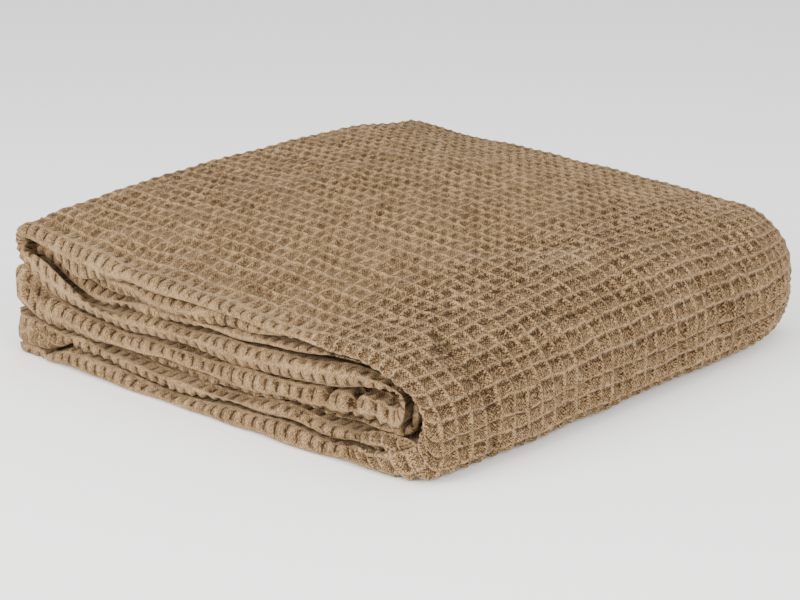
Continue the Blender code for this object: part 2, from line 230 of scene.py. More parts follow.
# Random unevenness, as parts: share, seed, and cells that it is eased over
TONE_PARTS = ((0.6, 3, 3.0), (0.8, 4, 0.6))
SLIDE_S_PARTS = ((0.5, 5, 3.0), (0.7, 6, 0.5))
SLIDE_W_PARTS = ((0.5, 7, 3.0), (0.7, 8, 0.5))
DEEP_PARTS = ((1.0, 9, 0.5),)
WAVE_PARTS = ((1.0, 10, 4.0),)
RIPPLE_PARTS = ((1.0, 11, 1.2),)

DEEPEST = 3.6  # depth of the deepest crease (mm), which also scales the painted crease shade
CREASES = (
    # place and next place, in cells, half the width, depth (mm; a ridge is below 0)
    (48.6, 13.2, 46.5, 14.3, 0.40, 2.4),
    (46.5, 14.3, 44.2, 13.9, 0.40, 2.4),
    (44.2, 13.9, 42.8, 13.5, 0.35, 1.8),
    (41.7, 13.5, 39.6, 13.3, 0.25, 1.6),
    (47.0, 7.1, 46.4, 6.9, 0.25, 2.0),
    (46.6, 6.1, 45.4, 5.8, 0.25, 2.0),
    (46.1, 5.2, 45.7, 5.1, 0.25, 1.8),
    (45.1, -0.4, 44.7, -0.3, 0.30, 2.0),
    (44.8, -5.4, 44.4, -5.3, 0.30, 2.0),
    (44.0, -5.9, 43.6, -5.8, 0.30, 1.6),
    (138.5, 16.8, 138.9, 19.2, 0.45, -0.5),
    (137.4, 16.0, 137.5, 17.4, 0.30, 3.6),
    (137.5, 17.4, 137.8, 19.4, 0.14, 1.1),
    (136.3, 16.6, 136.6, 19.2, 0.35, -0.6),
    (135.3, 16.0, 135.2, 17.8, 0.26, 3.6),
    (135.2, 17.8, 135.6, 19.6, 0.14, 1.2),
    (134.5, 16.6, 134.3, 19.0, 0.30, -0.5),
    (133.8, 16.4, 133.3, 19.2, 0.15, 1.4),
    (132.6, 16.8, 132.4, 18.6, 0.13, 0.9),
    (166.6, 18.0, 164.9, 17.3, 0.45, 3.4),
    (165.6, 18.6, 163.0, 18.0, 0.50, -1.2),
    (3.0, -55.0, 5.4, -54.2, 0.35, 1.4),
)
# Points across the strip, on each flat and each nose
FLAT_POINTS = 110
NOSE_POINTS = 24
BACK_POINTS = 36

# Parts of the strip, in order: what carries it, its cells, and its places
STRIP = (
    # kind, start, stop, first border, second border, cells, place, next place
    ("band", END_X, BAND_LEFT, 1, 0, 2, 0.0, 1.0),
    ("band", BAND_LEFT, BAND_RIGHT, 1, 0, 31, 1.0, 3.0),
    ("side", -90.0, 90.0, 0, 0, 18, 3.0, 5.0),
    ("band", BAND_RIGHT, LOBE_X, 3, 4, 33, 5.0, 7.0),
    ("left", 90.0, 270.0, 0, 0, 6, 7.0, 9.0),
    ("band", LOBE_X, ROLL_X, 3, 2, 36, 9.0, 11.0),
    ("roll", 90.0, -90.0, 0, 0, 6, 11.0, 13.0),
    ("band", ROLL_X, BAND_LEFT, 1, 2, 34, 13.0, 15.0),
    ("band", BAND_LEFT, END_X, 1, 2, 2, 15.0, 16.0),
)
FIRST_PLACE = 0.0
LAST_PLACE = 16.0
PIECES = (
    # name, first cell, last cell, step of the grid lines on the fourth layer
    ("blanket_bottom", 0, 33, COARSE_STEP),
    ("blanket_side", 33, 51, 1),
    ("blanket_top_right", 51, 68, 1),
    ("blanket_top_left", 68, 90, 1),
    ("blanket_inner_upper", 90, 132, PLAIN_STEP),
    ("blanket_inner_lower", 132, 168, PLAIN_STEP),
)


def smooth(x):
    """Ease from 0 to 1."""
    x = np.clip(x, 0.0, 1.0)
    return x * x * (3 - 2 * x)


def eased(x, xs, values):
    """Values at x of a table whose steps are eased into each other."""
    x = np.clip(x, xs[0], xs[-1])
    last = len(xs) - 1
    slope = []
    for j in range(last + 1):
        a, b = max(j - 1, 0), min(j + 1, last)
        slope.append((values[b] - values[a]) / (xs[b] - xs[a]))
    total = 0.0
    for i in range(last):
        step = xs[i + 1] - xs[i]
        inside = (x >= xs[i]) & ((x < xs[i + 1]) | (i == last - 1))
        t = np.clip((x - xs[i]) / step, 0.0, 1.0)
        bend = slope[i] * t * (1 - t) ** 2 - slope[i + 1] * t * t * (1 - t)
        here = values[i] + (values[i + 1] - values[i]) * smooth(t) + step * bend
        total = np.where(inside, here, total)
    return total


def top_height(x, y):
    """Height of the top of the stack at x, y."""
    across = [eased(x, TOP_X, [v * MM for v in row[1:]]) for row in TOP_ROWS]
    return eased(y, [row[0] * MM for row in TOP_ROWS], across)


def front_border(x, column):
    """Height at the front of the border in a column of FRONT_ROWS."""
    xs = [row[0] * MM for row in FRONT_ROWS]
    return eased(x, xs, [row[column] * MM for row in FRONT_ROWS])


def side_reach(y):
    """How far the turned side stands out from where its turn starts."""
    share = 2 * y / DEPTH
    hollow = np.where(y < 0, FRONT_HOLLOW * share**2, REAR_HOLLOW * share**6)
    return RIGHT_X - hollow - BAND_RIGHT


def border(k, x, y):
    """Height of border k at x, y: 0 the floor, 1 to 3 between bands, 4 the top."""
    if k == 0:
        return np.zeros_like(y) - CLEARANCE
    if k == 4:
        return top_height(x, y)
    inside = np.minimum(x, BAND_RIGHT) if k != 2 else x
    front = front_border(inside, k) / top_height(inside, np.full_like(y, FRONT_Y))
    depth = smooth((y - FRONT_Y) / FRONT_REACH)
    height = (front + (BACK_SHARES[k - 1] - front) * depth) * top_height(inside, y)
    if k == 2:
        return height
    square = SQUARE_INNER_LOW if k == 1 else SQUARE_INNER_HIGH
    middle = INNER_MIDDLE * top_height(BAND_RIGHT, y)
    out = np.clip((x - BAND_RIGHT) / (side_reach(y) - SIDE_WALL - ROLL_ROOM), 0, 1)
    return middle + (height - middle) * (1 - out**square) ** (1 / square)


def opening(k, x):
    """Half the height of the opening at border k, next to the turn round it."""
    if k == 2:
        return ROLL_OPENING * smooth((x - ROLL_OPENING_X) / (ROLL_X - ROLL_OPENING_X))
    if k == 3:
        return LOBE_OPENING * smooth((LOBE_OPENING_X - x) / (LOBE_OPENING_X - LOBE_X))
    return 0 * x


def turn(centre, reach_x, reach_up, reach_down, angle, square):
    """Points at an angle on a squarish turn about a centre, in X and Z."""
    c, s = np.cos(angle), np.sin(angle)
    across = np.sign(c) * np.abs(c) ** (2 / square)
    along = np.sign(s) * np.abs(s) ** (2 / square)
    reach = np.where(s > 0, reach_up, reach_down)
    return centre[0] + reach_x * across, centre[1] + reach * along


def faces(kind, value, first, second, y):
    """Both faces of the strip, (x, z) and (x, z), at a column of values and y."""
    if kind == "band":
        x = value + 0 * y
        part = math.copysign(1.0, second - first)
        one = border(first, x, y) + part * opening(first, x)
        return (x, one), (x, border(second, x, y) - part * opening(second, x))
    if kind == "side":
        x = np.full_like(y, BAND_RIGHT)
        low, high = border(0, x, y), border(4, x, y)
        middle = high * OUTER_MIDDLE
        rear = smooth((y - REAR_FROM) / REAR_OVER)
        low_square = SQUARE_OUTER_LOW + (SQUARE_REAR_LOW - SQUARE_OUTER_LOW) * rear
        high_square = SQUARE_OUTER_HIGH + (SQUARE_REAR_HIGH - SQUARE_OUTER_HIGH) * rear
        square = np.where(value > 0, high_square, low_square)
        reach = side_reach(y)
        outer = turn((x, middle), reach, high - middle, middle - low, value, square)
        middle = high * INNER_MIDDLE
        up, down = border(3, x, y) - middle, middle - border(1, x, y)
        square = np.where(value > 0, SQUARE_INNER_HIGH, SQUARE_INNER_LOW)
        return turn((x, middle), reach - SIDE_WALL, up, down, value, square), outer
    k, x, end = 2, ROLL_X, ROLL_END
    if kind == "left":
        k, x, end = 3, LOBE_X, LEFT_X + LOBE_INSET
    x = np.full_like(y, x)
    half = opening(k, x)
    pivot = border(k, x, y)
    up, down = border(k + 1, x, y) - pivot, pivot - border(k - 1, x, y)
    outer = turn((x, pivot), np.abs(end - x), up, down, value, SQUARE_ROUND)
    inner = turn((x, pivot), OPENING_REACH, half, half, value, SQUARE_ROUND)
    return (inner, outer) if kind == "left" else (outer, inner)


def even_values(kind, start, stop, first, second, count):
    """Values that divide a part of the strip evenly along its visible face."""
    if kind == "band":
        return np.linspace(start, stop, count + 1)
    angle = np.radians(np.linspace(start, stop, TURN_POINTS))[:, None]
    one, other = faces(kind, angle, first, second, np.full_like(angle, EVEN_Y))
    x, z = one if kind == "roll" else other
    run = np.hypot(np.diff(x[:, 0]), np.diff(z[:, 0]))
    run = np.concatenate(([0.0], np.cumsum(run)))
    return np.interp(np.linspace(0, run[-1], count + 1), run, angle[:, 0])


def squarish(t, square):
    """Reach and swing of a squarish nose, at shares t of the way round it."""
    c, s = np.cos(math.pi * t), np.sin(math.pi * t)
    reach = np.abs(s) ** (2 / square)
    return reach, (1 - np.sign(c) * np.abs(c) ** (2 / square)) / 2


def section(first, second, back, reach_1, reach_2, square):
    """Paths across the strip: y and the layer at points, in rows along the strip."""
    front = FRONT_Y + CLOTH / 2
    rear = DEPTH / 2 - NOSE_ROOM
    tip = NOSE_ROOM - CLOTH / 2
    columns = (v[:, None] for v in (first, second, back, reach_1, reach_2, square))
    first, second, back, reach_1, reach_2, square = columns
    run = np.linspace(0, 1, FLAT_POINTS)[None, :-1]
    out, swing = squarish(np.linspace(0, 1, NOSE_POINTS)[None, :-1], square)
    rear_out, rear_swing = squarish(np.linspace(0, 1, BACK_POINTS)[None, :-1], BACK_SQUARE)
    edge = rear - FLAT_STOP
    base_1, base_2 = front + first + reach_1, front + second + reach_2
    ys, layers = [], []

    def add(y, layer):
        ys.append(y)
        layers.append(layer + 0 * y)

    add(edge + (base_1 - edge) * run, 2)
    add(base_1 - reach_1 * out, 2 - swing)
    add(base_1 + (rear - back - base_1) * run, 1)
    add(rear - back + tip * rear_out, 1 + 3 * rear_swing)
    add(rear - back + (base_2 - rear + back) * run, 4)
    add(base_2 - reach_2 * out, 4 - swing)
    add(base_2 + (edge - base_2) * run, 3)
    return np.concatenate(ys, axis=1), np.concatenate(layers, axis=1)


def nose_split(split, thickness):
    """Split of a band that leaves room for two layers in each nose."""
    least = THINNEST_NOSE / thickness
    return np.clip(split, least, 1 - least)


def covered(y, front_nose, rear_nose):
    """How much of a nose that lies further back the one ahead of it covers."""
    ahead = np.maximum(rear_nose - front_nose, MM)
    share = smooth((rear_nose - front_nose - COVER_FROM) / COVER_OVER)
    return share * (1 - smooth((y - FRONT_Y - front_nose - CLOTH / 2) / ahead))


def depth_of(layer, y, thickness, split, first_nose, second_nose):
    """Distance of a layer from the first face of its band."""
    first, last = SKIN, thickness - SKIN
    near = smooth((y - FRONT_Y - NOSE_ROOM) / NEAR_FRONT)
    middle = nose_split(split, thickness) * thickness
    second, third = middle - SKIN, middle + SKIN
    second = second + (last - second) * covered(y, first_nose, second_nose)
    third = third + (first - third) * covered(y, second_nose, first_nose)
    second = second + ((first * 2 + last) / 3 - second) * near
    third = third + ((first + last * 2) / 3 - third) * near
    low, mid, high = (np.clip(layer - k, 0, 1) for k in (1, 2, 3))
    return np.where(
        layer <= 2,
        first + (second - first) * low,
        np.where(layer >= 3, third + (last - third) * high, second + (third - second) * mid),
    )


def blurred(values, rows):
    """Values eased along the strip, with a bell curve that is some rows wide."""
    reach = int(3 * rows) + 1
    weights = np.exp(-0.5 * (np.arange(-reach, reach + 1) / rows) ** 2)
    weights /= weights.sum()
    padded = np.concatenate(
        (
            2 * values[:1] - values[1 : reach + 1][::-1],
            values,
            2 * values[-1:] - values[-reach - 1 : -1][::-1],
        )
    )
    total = np.zeros_like(values)
    for k, weight in enumerate(weights):
        total += weight * padded[k : k + len(values)]
    return total


def plain_rows():
    """The folded surface without its weave: points in rows along the strip."""
    rows = []
    table = np.array(LAY_ROWS)
    at, table = table[:, 0], table[:, 1:]
    for kind, start, stop, one, two, cells, place, after in STRIP:
        count = cells * ROWS_IN_CELL
        values = even_values(kind, start, stop, one, two, count)
        places = np.linspace(place, after, count + 1)
        keep = slice(0, count + 1) if not rows else slice(1, count + 1)
        values, places = values[keep], places[keep]
        lay = [np.interp(places, at, column) for column in table.T]
        nose_1, nose_2 = lay[1] * MM, lay[2] * MM
        tip_y = np.full((len(values), 1), FRONT_Y + NOSE_ROOM)
        (ax, az), (bx, bz) = faces(kind, values[:, None], one, two, tip_y)
        thickness = np.hypot(bx - ax, bz - az)[:, 0]
        share = nose_split(lay[0], thickness)
        over = smooth((nose_1 - nose_2 - COVER_FROM) / COVER_OVER)
        under = smooth((nose_2 - nose_1 - COVER_FROM) / COVER_OVER)
        thick_1 = thickness * (share + (1 - share) * under)
        thick_2 = thickness * (1 - share + share * over)
        reach_1 = np.clip(thick_1 * NOSE_SHARE, SHORTEST_NOSE, NOSE_ROOM)
        reach_2 = np.clip(thick_2 * NOSE_SHARE, SHORTEST_NOSE, NOSE_ROOM)
        y, layer = section(nose_1, nose_2, lay[3] * MM, reach_1, reach_2, lay[4])
        (ax, az), (bx, bz) = faces(kind, values[:, None], one, two, y)
        thickness = np.hypot(bx - ax, bz - az)
        away = depth_of(
            layer, y, thickness, lay[0][:, None], nose_1[:, None], nose_2[:, None]
        )
        away = away / thickness
        x = ax + (bx - ax) * away
        z = az + (bz - az) * away
        if place == FIRST_PLACE or after == LAST_PLACE:
            end = after - places if place == FIRST_PLACE else places - place
            far = np.clip(np.abs(z - END_MIDDLE) / END_HALF, 0, 1)
            x = x + END_ROUNDING * end[:, None] * far**3
        rows.append(np.stack((x - CENTRE_X, y - CENTRE_Y, z), axis=-1))
    return np.concatenate(rows)


def spline(values, at, axis):
    """Values at fractional places along an axis, on a smooth curve."""
    values = np.moveaxis(values, axis, 0)
    last = len(values) - 1
    i = np.clip(np.floor(at).astype(int), 0, last - 1)
    t = (at - i).reshape((-1,) + (1,) * (values.ndim - 1))
    p0 = values[np.maximum(i - 1, 0)]
    p1, p2 = values[i], values[i + 1]
    p3 = values[np.minimum(i + 2, last)]
    out = p1 + 0.5 * t * (
        p2 - p0 + t * (2 * p0 - 5 * p1 + 4 * p2 - p3 + t * (3 * (p1 - p2) + p3 - p0))
    )
    return np.moveaxis(out, 0, axis)


def normals_of(points):
    """Normals of a grid of points, each from the faces that meet there."""
    across = points[1:, 1:] - points[:-1, :-1]
    other = points[:-1, 1:] - points[1:, :-1]
    face = np.cross(across, other)
    total = np.zeros_like(points)
    total[:-1, :-1] += face
    total[1:, :-1] += face
    total[:-1, 1:] += face
    total[1:, 1:] += face
    return total / np.maximum(np.linalg.norm(total, axis=-1, keepdims=True), TINY)


def grid_lines(cells):
    """Places of the grid lines, in cells, with one more line at the end."""
    lines = (np.arange(cells)[:, None] + np.array(LINES)[None, :]).ravel()
    return np.append(lines, cells)


def ridge(place):
    """Profile of the ridges across a cell: 1 on a ridge, 0 in a recess."""
    d = np.abs(place - np.round(place))
    top = (1 + np.cos(math.pi * np.clip(d / RIDGE_HALF, 0, 1))) / 2
    return RIDGE_SHARE * top + (1 - RIDGE_SHARE) * np.clip(1 - 2 * d, 0, 1)


def noise(shape, seed, smoothing):
    """Even random values in a grid, eased over a few cells along both axes."""
    values = np.random.default_rng(seed).standard_normal(shape)
    values = blurred(values, smoothing)
    values = blurred(values.T.copy(), smoothing).T
    return values / values.std()


def on_lines(values, s, w):
    """Values given at whole cells, found at places s and w on a smooth curve."""
    return spline(spline(values, s, 0), w, 1)


# ------------------------------------------------------------ the whole surface
plain = blurred(plain_rows(), ROW_BLUR)
steps = np.linalg.norm(np.diff(plain, axis=1), axis=-1)
run = np.concatenate((np.zeros((len(plain), 1)), np.cumsum(steps, axis=1)), axis=1)
middle_start = FLAT_POINTS * 2 + NOSE_POINTS + BACK_POINTS - 4
middle_stop = middle_start + FLAT_POINTS - 1
for i in range(len(run)):
    part = slice(middle_start, middle_stop)
    run[i] -= np.interp(CENTRE_Y, -plain[i, part, 1], run[i, part])
low_cell = math.ceil(run[:, 0].max() / CELL_WIDE)
high_cell = math.floor(run[:, -1].min() / CELL_WIDE)
w_lines = grid_lines(high_cell - low_cell) + low_cell
s_cells = sum(row[5] for row in STRIP)
s_lines = grid_lines(s_cells)

# Blocks across the strip: first cell, last cell, and the step of the grid lines,
# which is the piece's own where it is 0
BLOCKS = (
    (low_cell, -56, PLAIN_STEP),  # second layer
    (-56, -47, 1),  # first nose
    (-47, -21, PLAIN_STEP),  # first layer
    (-21, -15, COARSE_STEP),  # back nose
    (-15, 15, 0),  # fourth layer
    (15, 20, 1),  # second nose
    (20, high_cell, PLAIN_STEP),  # third layer
)


def blocks(first, last, own_step):
    """First and last row and column of each block of a piece, and its step."""
    for low, high, step in BLOCKS:
        left, right = (low - low_cell) * STEPS, (high - low_cell) * STEPS
        yield first * STEPS, last * STEPS, left, right, step or own_step


index_s = s_lines * ROWS_IN_CELL
at_w = np.empty((len(plain), len(w_lines)))
path = np.arange(plain.shape[1], dtype=float)
crossed = np.empty((len(plain), len(w_lines), 3))
for i in range(len(plain)):
    at = np.interp(w_lines * CELL_WIDE, run[i], path)
    crossed[i] = spline(plain[i], at, 0)
base = spline(crossed, index_s, 0)
out = normals_of(base)

S, W = s_lines[:, None], w_lines[None, :]
height = 1 - (1 - ridge(S)) * (1 - ridge(W))

mask = np.zeros(height.shape)
used = np.zeros(height.shape, bool)  # grid points that a piece has a vertex at
for _, first, last, own_step in PIECES:
    for top, bottom, left, right, step in blocks(first, last, own_step):
        used[top : bottom + 1 : step, left : right + 1 : step] = True
        if step < PLAIN_STEP:
            mask[top : bottom + 1, left : right + 1] = 1.0


def worn(whole):
    """Mask that falls to 0 at the borders of the parts without relief."""
    out = whole.copy()
    for axis in (0, 1):
        for k in range(1, STEPS + 1):
            for way in (-k, k):
                shifted = np.roll(whole, way, axis)
                edge = [slice(None), slice(None)]
                edge[axis] = slice(0, k) if way > 0 else slice(-k, None)
                shifted[tuple(edge)] = 1.0
                fade = smooth(np.array((k - 1) / STEPS))
                out = np.minimum(out, np.where(shifted == 0, fade, 1.0))
    return out


mask = worn(mask)
shape = (s_cells + 1, high_cell - low_cell + 1)


def uneven(parts):
    """Random values on the grid lines, as a sum of parts."""
    total = 0
    for share, seed, cells in parts:
        total = total + share * noise(shape, seed, cells)
    return on_lines(total, s_lines, w_lines - low_cell)


tone_and_side_light = uneven(TONE_PARTS)
slide_s = uneven(SLIDE_S_PARTS)
slide_w = uneven(SLIDE_W_PARTS)
deep = uneven(DEEP_PARTS)
wave = uneven(WAVE_PARTS)
ripple = uneven(RIPPLE_PARTS)
on_side = smooth((S - SIDE_CELLS[0]) / SIDE_FADE) * smooth((SIDE_CELLS[1] - S) / SIDE_FADE)
# Painted light on the turned side, low down and towards its back, added to the random tone
low_side_light = LOW_SIDE_LIGHT * smooth((LOW_SIDE_LIGHT_CELL - S) / LOW_SIDE_LIGHT_FADE)
rear_side_light = REAR_SIDE_LIGHT * smooth((REAR_SIDE_LIGHT_CELL - W) / REAR_SIDE_LIGHT_FADE)
tone_and_side_light = tone_and_side_light + on_side * (low_side_light + rear_side_light)

along_s = np.gradient(base, axis=0)
along_s /= np.maximum(np.linalg.norm(along_s, axis=-1, keepdims=True), TINY)
along_w = np.gradient(base, axis=1)
along_w /= np.maximum(np.linalg.norm(along_w, axis=-1, keepdims=True), TINY)
in_s, in_w = S - np.floor(S), W - np.floor(W)
arch = height * (np.sin(math.pi * in_s) ** 2 + np.sin(math.pi * in_w) ** 2 - 1)
nose = np.zeros_like(W)
for start, stop in NOSES:
    rise = smooth((W - start + NOSE_MARGIN) / NOSE_FADE)
    nose = nose + rise * smooth((stop + NOSE_MARGIN - W) / NOSE_FADE)
nose = nose * (1 - SIDE_NOSE * on_side)
edge = np.minimum(S, s_cells - S)
relief = mask * (1 - (1 - NOSE_RELIEF) * nose) * smooth(edge / HEM_CELLS - FLAT_HEM)
recess = RECESS * (1 - height) * (1 + DEPTH_SPREAD * deep)
lift = relief * (RIDGE_TOP - recess + ARCH * arch)
slot = np.exp(-(((in_s - 0.5) / SLOT_HALF) ** 2)) * np.sin(math.pi * in_w) ** 2
lift = lift - SLOT * mask * nose * slot * np.clip(SLOT_MEAN + SLOT_SPREAD * deep, 0, 2)
rolling = WAVE_SHARE * wave + RIPPLE_SHARE * ripple * (1 + nose)
lift = lift + UNDULATION * mask * rolling
# Painted shade in the creases: a mask that darkens the cloth more the deeper the crease is
crease_shade = np.zeros_like(lift)
for s_0, w_0, s_1, w_1, half, depth in CREASES:
    run_s, run_w = s_1 - s_0, w_1 - w_0
    t = ((S - s_0) * run_s + (W - w_0) * run_w) / (run_s**2 + run_w**2)
    t = np.clip(t, 0, 1)
    away = ((S - s_0 - t * run_s) ** 2 + (W - w_0 - t * run_w) ** 2) / half**2
    lift = lift - depth * MM * mask * np.exp(-away)
    crease_shade = np.maximum(crease_shade, depth / DEEPEST * mask * np.exp(-away))
lift = lift - HEM * smooth(1 - edge / HEM_CELLS)
final = base + out * lift[..., None]
final += (relief * slide_s * SLIDE)[..., None] * along_s
final += (relief * slide_w * SLIDE)[..., None] * along_w
tip = smooth(1 - S / TIP_CELLS) * np.exp(-(((W - TIP_PLACE) / TIP_HALF) ** 2))
final[..., 0] += TIP_TUCK * tip
final[..., 2] = np.maximum(final[..., 2], 0.0)
final_normals = normals_of(final)


# ----------------------------------------------------------------------- pieces
def block_faces(top, bottom, left, right, step):
    """Faces of a block, as numbers of the grid's points."""
    across = height.shape[1]
    rows = np.arange(top, bottom, step)
    cols = np.arange(left, right, step)
    faces = []
    for i in rows:
        edge_row = i == rows[0] or i == rows[-1]
        for j in cols:
            if step == 1 or not (edge_row or j == cols[0] or j == cols[-1]):
                faces.append(
                    (
                        i * across + j,
                        (i + step) * across + j,
                        (i + step) * across + j + step,
                        i * across + j + step,
                    )
                )
                continue
            ring = [(i + k, j) for k in range(step)]
            ring += [(i + step, j + k) for k in range(step)]
            ring += [(i + step - k, j + step) for k in range(step)]
            ring += [(i, j + step - k) for k in range(step)]
            faces.append(tuple(a * across + b for a, b in ring if used[a, b]))
    return faces


def make_piece(name, first, last, own_step, material):
    """One stretch of the cloth, between two cells along the strip."""
    faces = []
    for block in blocks(first, last, own_step):
        faces += block_faces(*block)
    corner_ids = np.concatenate([np.array(f) for f in faces])
    sizes = np.array([len(f) for f in faces])
    ids, corners = np.unique(corner_ids, return_inverse=True)
    mesh = bpy.data.meshes.new(name)
    mesh.vertices.add(len(ids))
    mesh.vertices.foreach_set("co", final.reshape(-1, 3)[ids].astype(np.float32).ravel())
    mesh.loops.add(len(corners))
    mesh.loops.foreach_set("vertex_index", corners.astype(np.int32))
    mesh.polygons.add(len(sizes))
    starts = np.concatenate(([0], np.cumsum(sizes)[:-1]))
    mesh.polygons.foreach_set("loop_start", starts.astype(np.int32))
    mesh.update(calc_edges=True)
    mesh.validate()
    mesh.shade_smooth()
    weave = mesh.uv_layers.new(name="weave")
    s_at = np.broadcast_to(S, height.shape).ravel()[corner_ids]
    w_at = np.broadcast_to(W, height.shape).ravel()[corner_ids]
    weave.data.foreach_set("uv", np.stack((s_at, w_at), -1).astype(np.float32).ravel())
    side = np.broadcast_to(on_side, height.shape)
    labels = (("nose", nose), ("tone_and_side_light", tone_and_side_light), ("side", side), ("crease_shade", crease_shade))
    for label, values in labels:
        attribute = mesh.attributes.new(label, "FLOAT", "POINT")
        attribute.data.foreach_set("value", values.ravel()[ids].astype(np.float32))
    mesh.normals_split_custom_set_from_vertices(final_normals.reshape(-1, 3)[ids])
    mesh.materials.append(material)
    obj = bpy.data.objects.new(name, mesh)
    bpy.context.scene.collection.objects.link(obj)
    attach(obj, "root")
    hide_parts("blanket")


# -------------------------------------------------------------------- materials
PICKS_S = 5.5  # threads in a cell, along and across the strip
PICKS_W = 6.5
# Tones of the cloth, from the darkest painted shade in a recess to the palest painted light
# on a thread
TONES = (
    (0.0, (0.012, 0.006, 0.002, 1)),
    (0.30, (0.052, 0.029, 0.012, 1)),
    (0.55, (0.124, 0.077, 0.037, 1)),
    (1.0, (0.300, 0.200, 0.110, 1)),
)
# The cloth's place on that scale, and what its parts add. Threads, walls and noses add
# painted light; corners, recess sides, slots, creases and patches add painted shade; the
# tone adds painted light on the turned side
GROUND = 0.42
ON_THREAD_LIGHT = 0.30
ON_WALL_LIGHT = 0.10
ON_NOSE_LIGHT = 0.12
IN_CORNER_SHADE = -0.16
IN_SIDE_SHADE = -0.11  # painted shade at the far side of a recess and at its rim, on the turned side
IN_SLOT_SHADE = -0.42
IN_CREASE_SHADE = -0.30
TONE_AND_LIGHT_SHARE = 0.035
RECESS_SHADE_PATCH_SHARE = 0.38
FUZZ_SHARE = 0.15
FUZZ_IN_RECESS = 0.17
FUZZ_ON_SIDE = 0.6
# Marks, in cells from the middle of a ridge: where they fall from and to
THREAD = (0.01, 0.08)
CROSSING = (0.0, 0.34)
WALL_LIGHT = (0.10, 0.34)
RIM_SHADE = (0.02, 0.10)
RIM_SHADE_PLACE = 0.18
HIGH_SHADE = (0.04, 0.20)  # shade at one end of a recess, along the strip
HIGH_PLACE = 0.76
LOW_SHADE = (0.04, 0.24)  # and at one end of it, across the strip
LOW_PLACE = 0.28
SHADE_SIDES = (0.08, 0.22)
SLOT_ENDS = (0.46, 0.36)
SLOT_SIDES = (0.25, 0.10)
CROSSING_FADE = -0.55  # how much a thread fades where another crosses it
SIDE_THREADS = 0.95  # strength of the threads across the strip
SIDE_THREADS_LESS = -0.35  # and how much weaker they are on the turned side
NOSE_THREADS_LESS = 0.6
ROUGHNESS = 0.22  # how uneven the width of the threads is, in cells
# Unevenness: scale and detail, and how far it moves the marks, in cells
WARPS = ((0.8, 1.0, 0.30), (4.0, 2.0, 0.20))
FINE_WARP = (9.0, 1.0, 0.10)
ROUGH_NOISE = (2.3, 1.0)
GRAIN_NOISE = (7.0, 1.5)
RECESS_SHADE_NOISE = (1.3, 1.0)
PICKS_SHARE = 0.7  # parts of the fuzz: the threads' crossings, and a grain
GRAIN_SHARE = 3.0
THREAD_BUMP = 1.5
BUMP_STRENGTH = 0.6
BUMP_DISTANCE = 0.3 * MM


